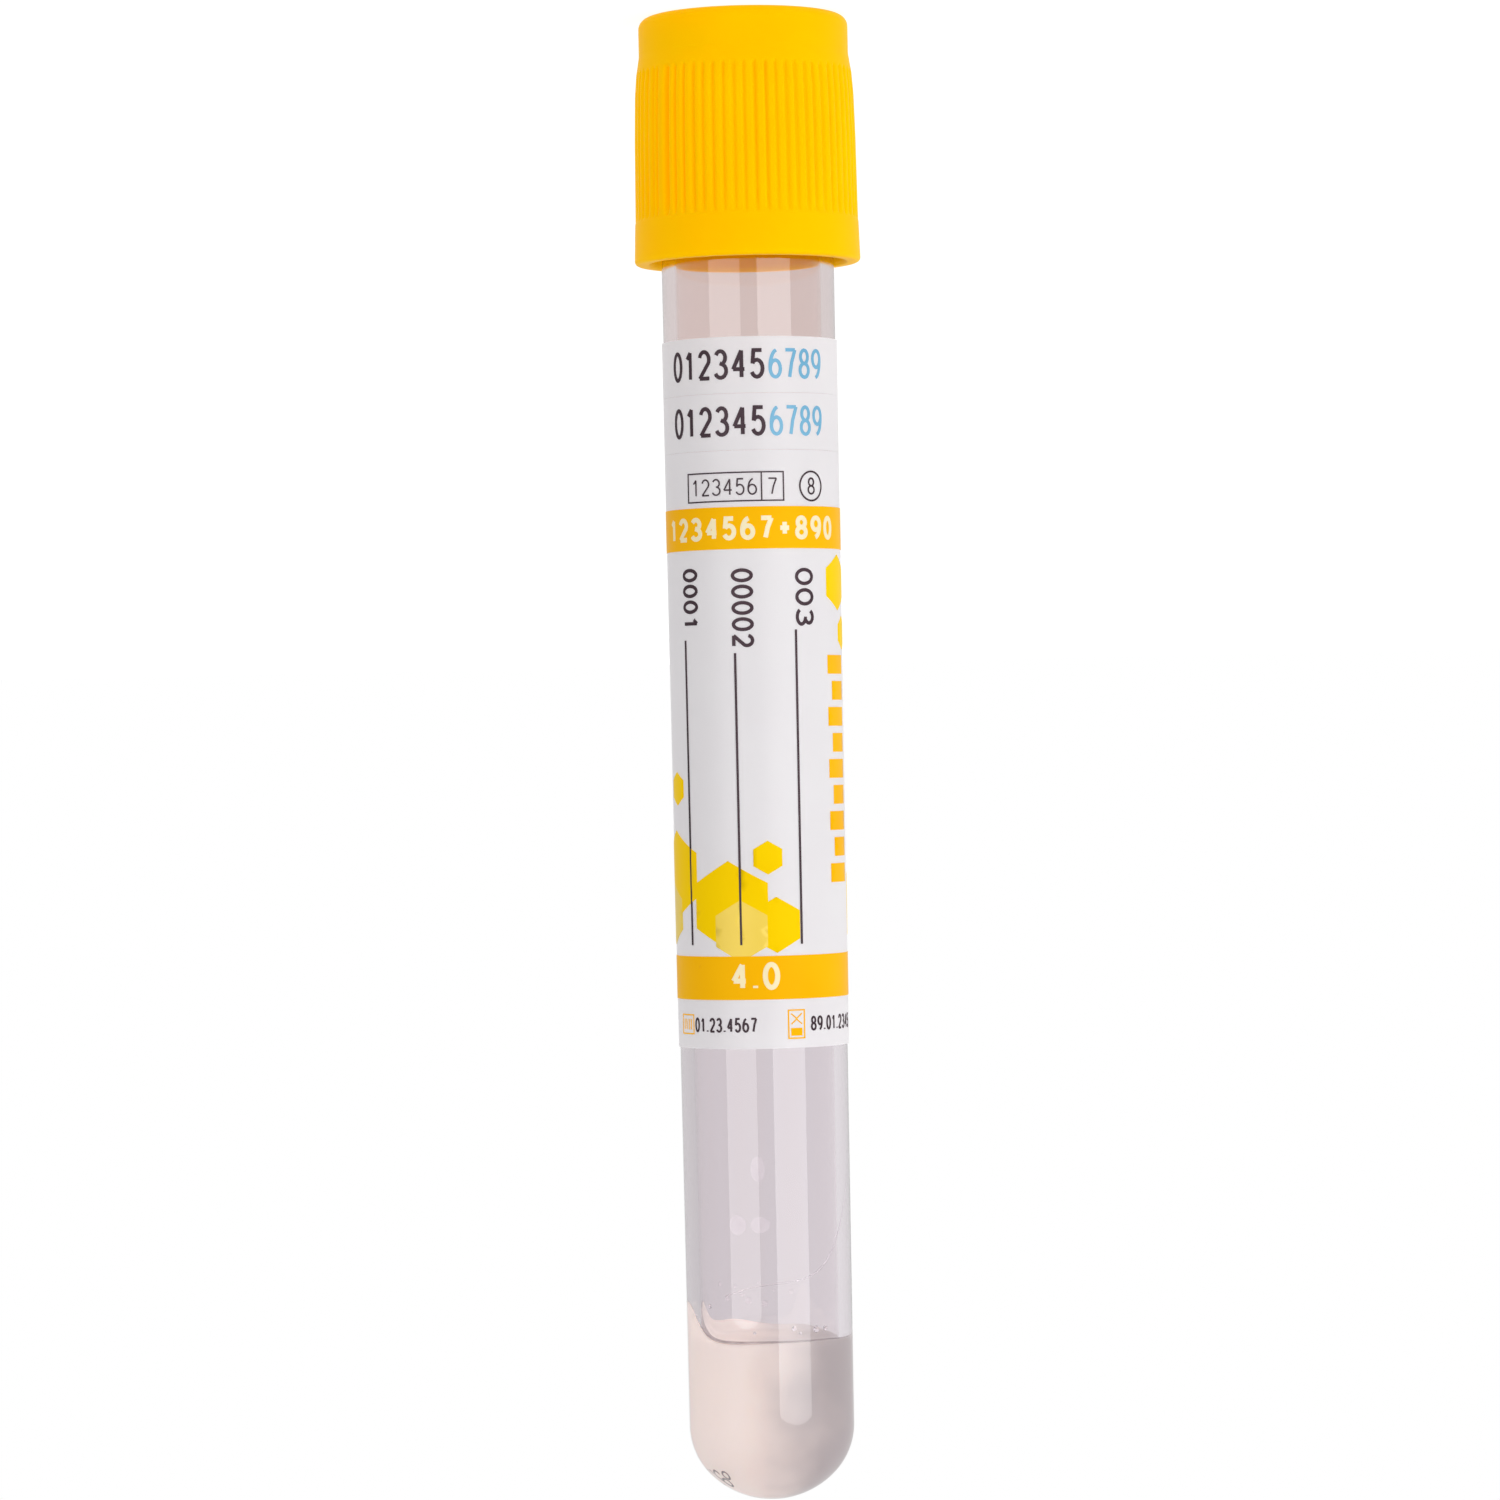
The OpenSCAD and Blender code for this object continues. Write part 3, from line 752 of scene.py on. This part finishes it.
# A stroke cut at its sharp corners. A cut end runs on by half the width times the tangent of half the turn,
# so that the pieces meet outside it, but not past a turn so sharp that the end would stick out.
def cutAtCorners(path, width, sharpest=40.0):
    step = np.diff(path, axis=0)
    step = step / np.maximum(np.hypot(*step.T), 1e-9)[:, None]
    turn = np.degrees(np.arccos(np.clip((step[:-1] * step[1:]).sum(axis=1), -1, 1)))
    corners = np.flatnonzero(turn > sharpest) + 1
    pieces = np.split(np.arange(len(path)), corners)
    out = []
    more = np.where(turn[corners - 1] < 100.0, np.tan(np.radians(turn[corners - 1] / 2)), 0.0) * width / 2
    for k, part in enumerate(pieces):
        piece = path[part[0]:part[-1] + 2] if k < len(pieces) - 1 else path[part]
        piece = piece.copy()
        if k > 0:
            way = piece[0] - piece[1]
            piece[0] += way / np.hypot(*way) * more[k - 1]
        if k < len(pieces) - 1:
            way = piece[-1] - piece[-2]
            piece[-1] += way / np.hypot(*way) * more[k]
        out.append(piece)
    return out


# A patch given by arc length and height becomes a thin raised body on the barrel: angle is arc over radius
def onBarrel(patch, low, high):
    z = patch[..., 1]
    r = outerR(z)
    angle = np.degrees(patch[..., 0] / (r + filmForm["thick"]))
    return between(polar(angle, r + high, z), polar(angle, r + low, z))


# The same on the round end, where a patch is given by angle and height
def onEnd(patch, low, high):
    z = patch[..., 1]
    angle = np.degrees(patch[..., 0] / bodyR(patch[..., 1].mean()))
    return between(polar(angle, bodyR(z) + high, z), polar(angle, bodyR(z) + low, z))


strokeStep = 0.25


# Strokes of a row of numerals: start is the first one's corner, along the way the row runs
def rowOf(text, start, size, pitch, weight, along=(1.0, 0.0), narrow=0.42, mirror=False):
    along = np.array(along, float)
    up = np.array([-along[1], along[0]])
    inset = weight / 2
    out = []
    cursor = 0.0
    for character in text:
        step = pitch * (0.5 if character == "." else 1.0)
        wide = min(narrow * size, step * 0.86)
        for stroke in strokesOf(character):
            u = inset + stroke[:, 0] * (wide - weight) + (step - wide) / 2
            if mirror:
                u = step - u
            v = inset + stroke[:, 1] * (size - weight)
            path = np.array(start) + (cursor + u)[:, None] * along + v[:, None] * up
            out += [ribbon(spaced(piece, strokeStep), weight) for piece in cutAtCorners(path, weight)]
        cursor += step
    return out


# A box of four strokes, each run on by half the width at both ends so that the corners close
def frameOf(x0, z0, x1, z1, weight):
    corners = line((x0, z0), (x1, z0), (x1, z1), (x0, z1), (x0, z0))
    sides = []
    for start, end in zip(corners[:-1], corners[1:]):
        more = np.sign(end - start) * weight / 2
        sides.append(ribbon(spaced(np.stack([start - more, end + more]), strokeStep), weight))
    return sides


strip = {n: localPoints("peel_strip_" + n, tipShift)[:, 2] for n in ("lower", "upper")}
numerals = dict(
    rowSize=2.18, rowFrom=-6.7, rowPitch=1.31, rowWeight=0.28, bluePitch=1.17, blueFrom=1.24, blueWeight=0.25,
    rowLift=0.95)
darkStrokes, blueStrokes, creamStrokes, amberStrokes = [], [], [], []
for n in ("lower", "upper"):
    base = strip[n].min() + numerals["rowLift"]
    darkStrokes += rowOf("012345", (numerals["rowFrom"], base), numerals["rowSize"], numerals["rowPitch"],
                         numerals["rowWeight"], narrow=0.5)
    blueStrokes += rowOf("6789", (numerals["blueFrom"], base), numerals["rowSize"], numerals["bluePitch"],
                         numerals["blueWeight"], narrow=0.46)

# box with a divider, and a ring, between the strips and the upper band
darkStrokes += frameOf(-5.13, 71.82, 2.25, 73.85, 0.10)
darkStrokes += [ribbon(spaced(line((0.64, 71.82), (0.64, 73.85)), strokeStep), 0.10)]
darkStrokes += rowOf("123456", (-4.86, 72.22), 1.22, 0.88, 0.11, narrow=0.56)
darkStrokes += rowOf("7", (1.02, 72.22), 1.22, 0.84, 0.11, narrow=0.56)
darkStrokes += [ribbon(arc(4.58, 72.84, 1.02, 1.04, 0, 360, 48), 0.13)]
darkStrokes += rowOf("8", (4.18, 72.22), 1.24, 0.80, 0.13, narrow=0.6)

# numerals in the bands
creamStrokes += rowOf("1234567+890", (-7.75, 69.02), 1.72, 1.335, 0.33, narrow=0.62)
creamStrokes += rowOf("4.0", (-2.42, 36.98), 2.0, 1.52, 0.36, narrow=0.62)

# numerals that read down the label, above the write-on lines
darkStrokes += rowOf("0001", (-5.98, 67.2), 1.55, 1.13, 0.25, (0.0, -1.0), 0.72)
darkStrokes += rowOf("00002", (-1.70, 67.1), 1.60, 1.16, 0.25, (0.0, -1.0), 0.72)
darkStrokes += rowOf("003", (3.00, 67.1), 1.57, 1.45, 0.25, (0.0, -1.0), 0.80)

# two dates under the lower band, and two small marks
darkStrokes += rowOf("01.23.4567", (-5.68, 33.97), 1.06, 0.585, 0.15, narrow=0.52)
darkStrokes += rowOf("89.01.2345", (3.51, 33.97), 1.06, 0.585, 0.15, narrow=0.52)
amberStrokes += frameOf(-7.45, 33.85, -5.82, 35.2, 0.09)
amberStrokes += [ribbon(spaced(line((x, 34.15), (x, 34.9)), strokeStep), 0.10)
                 for x in (-7.1, -6.8, -6.45, -6.15)]
amberStrokes += frameOf(1.80, 33.5, 3.02, 35.5, 0.10)
amberStrokes += [ribbon(spaced(line((1.98, 33.95), (2.84, 33.95)), strokeStep), 0.55)]
amberStrokes += [ribbon(line((2.0, 34.5), (2.41, 34.85), (2.82, 34.5)), 0.09),
                 ribbon(line((2.0, 35.25), (2.41, 34.9), (2.82, 35.25)), 0.09)]

onFilm = (filmForm["thick"] - 0.003, filmForm["thick"] + 0.02)
onInk = (inkForm["high"] - 0.004, inkForm["high"] + 0.02)


# Strokes as raised bodies, each a hair higher than the last so that crossing strokes share no face
def inked(strokes, low, high):
    return joined([onBarrel(s, low, high + 0.0015 * (k % 4)) for k, s in enumerate(strokes)])


addPiece("dark_numerals", inked(darkStrokes, *onFilm), darkMat, "barrel")
addPiece("blue_numerals", inked(blueStrokes, *onFilm), blueMat, "barrel")
addPiece("cream_numerals", inked(creamStrokes, *onInk), creamMat, "barrel")
addPiece("amber_marks", inked(amberStrokes, *onFilm), amberMat, "barrel")
print("numerals made")

# ---- mould mark on the round end: small plain numerals, mirrored, just under the wall's outer face
markStrokes = rowOf("128", (-6.15, 1.15), 1.35, 0.95, 0.14, narrow=0.62, mirror=True)
markMat = coated("mould_mark", dict(toneA=(0.32, 0.30, 0.31), toneB=(0.42, 0.40, 0.41), rough=(0.3, 0.4)))
addPiece("mould_mark", joined([onEnd(s, -0.02, -0.005) for s in markStrokes]), markMat, "barrel")

# ---- cap
capForm = dict(
    ribs=64, samples=12, soft=0.16, innerSoft=0.07, topSoft=0.8, gripR=8.0, gripSoft=0.45,
    deep=0.17, grooveWide=0.26, crown=0.04, vary=0.22, shift=0.05, seed=7,
    ventAngle=-46.0, ventWide=1.7, ventDeep=1.9, ventGap=0.38)
outerRings = capRings[capRings[:, 1] > 7.4]
outerRings = outerRings[np.lexsort((-outerRings[:, 1], outerRings[:, 0]))]
outerRings = outerRings[np.unique(outerRings[:, 0], return_index=True)[1]]
bandR = outerRings[outerRings[:, 0] < capTop - capForm["topSoft"] + 0.01][-1, 1]
innerRings = capRings[(capRings[:, 1] <= 7.4) & (capRings[:, 0] < capTop - 0.9)]


# The cap's cut outline as (r, z), closed: up the outside, over the top, down the port and the hollow
def capOutline():
    portRings = capRings[capRings[:, 1] < 4.8]
    portR, mouthR = portRings[:, 1].min(), portRings[:, 1].max()
    portHigh = portRings[np.isclose(portRings[:, 1], portR), 0].max()
    portLow = portRings[np.isclose(portRings[:, 1], portR), 0].min()
    inner = innerRings[innerRings[:, 1] > 4.8]
    inner = inner[np.lexsort((-inner[:, 1], -inner[:, 0]))]
    outside = outerRings[outerRings[:, 0] < capTop - capForm["topSoft"] - 0.01]
    rim = outside[np.argmax(outside[:, 1])]
    outside = outside[outside[:, 0] >= rim[0]]
    a = np.radians(np.linspace(0, 90, 9))
    t = capForm["topSoft"]
    over = np.stack([bandR - t + t * np.cos(a), capTop - t + t * np.sin(a)], axis=1)
    rimRound = rim[0] - capLow
    a = np.radians(np.linspace(-90, 0, 6))
    under = np.stack([rim[1] - rimRound + rimRound * np.cos(a),
                      capLow + rimRound + rimRound * np.sin(a)], axis=1)
    port = np.array([[mouthR, capTop], [portR, portHigh], [portR, portLow]])
    sides = softened(np.vstack([under[-1:], outside[1:, ::-1], over[:1]]), capForm["soft"])[1:-1]
    hollow = np.vstack([over[-1:], port, inner[:, ::-1], under[:1]])
    hollow = softened(hollow, capForm["innerSoft"], steps=2)[1:-1]
    return spaced(np.vstack([under, sides, over, hollow]), 0.75, closed=True)


# Depth of the grip grooves by angle: each is a bell curve of the arc from its middle, a little different in
# place, width and depth, and between them a rib's crown falls off with the square of the way to its edge.
# One groove on the left is wider and deeper, with a broader rib before it.
def grooveDepth(angle):
    c = capForm
    rng = np.random.default_rng(c["seed"])
    pitch = 360.0 / c["ribs"]
    centre = np.arange(c["ribs"]) * pitch - 180.0
    centre = centre + rng.uniform(-1, 1, c["ribs"]) * c["shift"] * pitch
    wide = c["grooveWide"] * (1 + rng.uniform(-1, 1, c["ribs"]) * c["vary"])
    deep = c["deep"] * (1 + rng.uniform(-1, 1, c["ribs"]) * c["vary"])
    vent = int(np.argmin(np.abs(centre - c["ventAngle"])))
    centre[vent - 1] -= c["ventGap"] * pitch
    wide[vent] *= c["ventWide"]
    deep[vent] *= c["ventDeep"]
    off = (angle[:, None] - centre[None, :] + 180.0) % 360.0 - 180.0
    mmOff = np.radians(off) * c["gripR"]
    groove = deep * np.exp(-(mmOff / (wide / 2)) ** 2)
    nearest = np.abs(off).min(axis=1) / (pitch / 2)
    return groove.max(axis=1) + c["crown"] * (1 - np.clip(nearest, 0, 1)) ** 2


gripLow = outerRings[outerRings[:, 0] > capLow + 3.0][0, 0]
gripHigh = outerRings[outerRings[:, 1] > bandR + 0.15][-1, 0]
print("grip from", gripLow, "to", gripHigh)


# The outline turned round the axis, with its grip pressed in by the groove's depth at that angle. The depth
# fades to little at the grip's two ends by a smooth step.
def capBody():
    outline = capOutline()
    angle = np.linspace(-180.0, 180.0, capForm["ribs"] * capForm["samples"], endpoint=False)
    r, z = outline[None, :, 0], outline[None, :, 1]
    fade = np.clip(np.minimum(z - gripLow, gripHigh - z) / capForm["gripSoft"] + 0.15, 0, 1)
    fade = fade * fade * (3 - 2 * fade) * (r > 7.4)
    gripped = r - fade * grooveDepth(angle)[:, None]
    points = polar(angle[:, None], gripped, np.broadcast_to(z, gripped.shape))
    quads = gridQuads(len(angle), outline.shape[0], closeRows=True, closeCols=True)
    points = points.reshape(-1, 3)
    return points, outward(points, quads)


addPiece("safety_cap", capBody(), capMat, "closure", ["cap"], 50)
print("cap made")


# ---- stopper, one outline from the hollow's roof round to the needle dish
def stopperBody():
    r, z = stopperRings[:, 1], stopperRings[:, 0]
    headR = r.max()
    headLow, headHigh = z[np.isclose(r, headR)].min(), z[np.isclose(r, headR)].max()
    plugHigh = stopperRings[np.isclose(z, headLow) & (r < headR - 0.5), 1].max()
    plug = stopperRings[(z < headLow) & (r > 0.9 * plugHigh)]
    plug = plug[np.argsort(plug[:, 0])]
    hollow = stopperRings[(z < headLow) & (r <= 0.9 * plugHigh)]
    hollow = hollow[np.lexsort((hollow[:, 1], -hollow[:, 0]))]
    dish = stopperRings[(z > headLow) & (r < headR - 0.5)]
    dish = dish[np.argsort(-dish[:, 0])]
    outline = np.vstack([[[0.0, hollow[0, 0]]], hollow[:, ::-1], plug[:, ::-1], [[plugHigh, headLow]],
                         [[headR, headLow]], [[headR, headHigh]], dish[:, ::-1], [[0.0, dish[-1, 0]]]])
    return turned(spaced(softened(outline, 0.15), 0.8), 128)


addPiece("rubber_stopper", stopperBody(), rubberMat, "closure", ["stopper"], 50)
print("stopper made")

# ---- stage: a white floor, a white surround, a softbox on the tube's right and a fill on its left
stageForm = dict(
    floor=3.0, floorTone=0.3, floorLight=0.52, floorSeen=0.86, surround=0.72, surroundTilt=0.13, seen=1.0)


# A strength that is one number for the camera and a dimmer one for the light that reaches the tube
def seenOnly(tree, socket, asLight, asSeen):
    path = tree.nodes.new("ShaderNodeLightPath")
    level = tree.nodes.new("ShaderNodeMapRange")
    level.inputs["To Min"].default_value = asLight
    level.inputs["To Max"].default_value = asSeen
    tree.links.new(path.outputs["Is Camera Ray"], level.inputs["Value"])
    tree.links.new(level.outputs["Result"], socket)
    return level


# A dull floor that shines a little, so that it shows as white round the part's foot
def floorMaterial():
    m, tree, s = newMaterial("floor")
    s.inputs["Base Color"].default_value = (*[stageForm["floorTone"]] * 3, 1)
    s.inputs["Roughness"].default_value = 0.9
    s.inputs["Specular IOR Level"].default_value = 0.0
    s.inputs["Emission Color"].default_value = (1, 1, 1, 1)
    seenOnly(tree, s.inputs["Emission Strength"], stageForm["floorLight"], stageForm["floorSeen"])
    return m


half = stageForm["floor"]
floorCorners = [(-half, -half, 0), (half, -half, 0), (half, half, 0), (-half, half, 0)]
floorMesh = bpy.data.meshes.new("floor")
floorMesh.from_pydata(floorCorners, [], [(0, 1, 2, 3)])
floorMesh.materials.append(floorMaterial())
floorObj = bpy.data.objects.new("floor", floorMesh)
bpy.context.scene.collection.objects.link(floorObj)

# the surround is white where the camera sees it. As light it is dimmer on the tube's left than on its right:
# its strength is the middle one plus the tilt times how far to the right a direction points
world = bpy.data.worlds.new("surround")
world.use_nodes = True
bpy.context.scene.world = world
background = world.node_tree.nodes["Background"]
background.inputs["Color"].default_value = (1, 1, 1, 1)
level = seenOnly(world.node_tree, background.inputs["Strength"], stageForm["surround"], stageForm["seen"])
direction = world.node_tree.nodes.new("ShaderNodeTexCoord")
toRight = world.node_tree.nodes.new("ShaderNodeVectorMath")
toRight.operation = "DOT_PRODUCT"
toRight.inputs[1].default_value = rightDir * stageForm["surroundTilt"]
tilted = world.node_tree.nodes.new("ShaderNodeMath")
tilted.inputs[1].default_value = stageForm["surround"]
world.node_tree.links.new(direction.outputs["Generated"], toRight.inputs[0])
world.node_tree.links.new(toRight.outputs["Value"], tilted.inputs[0])
world.node_tree.links.new(tilted.outputs["Value"], level.inputs["To Min"])


# Area light at an angle and distance round the tube's middle, facing it, with sizes in metres.
# A lamp that shines shows as a reflection and does no other lighting, and one that doesn't only lights.
def addSoftbox(name, angle, distance, height, wide, tall, watts, shines):
    light = bpy.data.lights.new(name, "AREA")
    light.shape = "RECTANGLE"
    light.size, light.size_y = wide, tall
    light.energy = watts
    obj = bpy.data.objects.new(name, light)
    bpy.context.scene.collection.objects.link(obj)
    obj.visible_transmission = False
    obj.visible_glossy = shines
    obj.visible_diffuse = not shines
    place = polar(angle, distance / mm, height)
    aim = Vector(polar(0.0, 0.0, height)) - Vector(place)
    z = -aim.normalized()
    y = Vector(axisDir)
    x = y.cross(z).normalized()
    y = z.cross(x)
    obj.matrix_world = Matrix.Translation(Vector(place)) @ Matrix((x, y, z)).transposed().to_4x4()
    return obj


lamps = dict(
    key=dict(angle=40.0, distance=0.6, height=40.0, wide=0.4, tall=0.4, watts=1.3, shines=False),
    strip=dict(angle=34.0, distance=0.13, height=47.5, wide=0.109, tall=0.117, watts=0.105, shines=True),
    fill=dict(angle=-32.0, distance=0.13, height=52.5, wide=0.100, tall=0.107, watts=0.069, shines=True),
)
for lampName, lamp in lamps.items():
    addSoftbox(lampName, **lamp)

# ---- camera
shot = dict(height=54.07, side=-0.57, distance=400.0, lean=1.2, lens=132.86)
lean = math.radians(shot["lean"])
upDir = math.cos(lean) * axisDir + math.sin(lean) * rightDir
sideDir = math.cos(lean) * rightDir - math.sin(lean) * axisDir
camera = bpy.data.cameras.new("camera")
camera.lens = shot["lens"]
camera.sensor_width = 36.0
camera.clip_start, camera.clip_end = 0.02, 20.0
cameraObj = bpy.data.objects.new("camera", camera)
bpy.context.scene.collection.objects.link(cameraObj)
eye = tipPoint + mm * (shot["height"] * axisDir + shot["side"] * sideDir + shot["distance"] * frontDir)
cameraObj.matrix_world = Matrix.Translation(Vector(eye)) @ Matrix(
    (Vector(sideDir), Vector(upDir), Vector(frontDir))).transposed().to_4x4()
bpy.context.scene.camera = cameraObj
bpy.context.scene.view_settings.view_transform = "Standard"
print("stage and camera made")
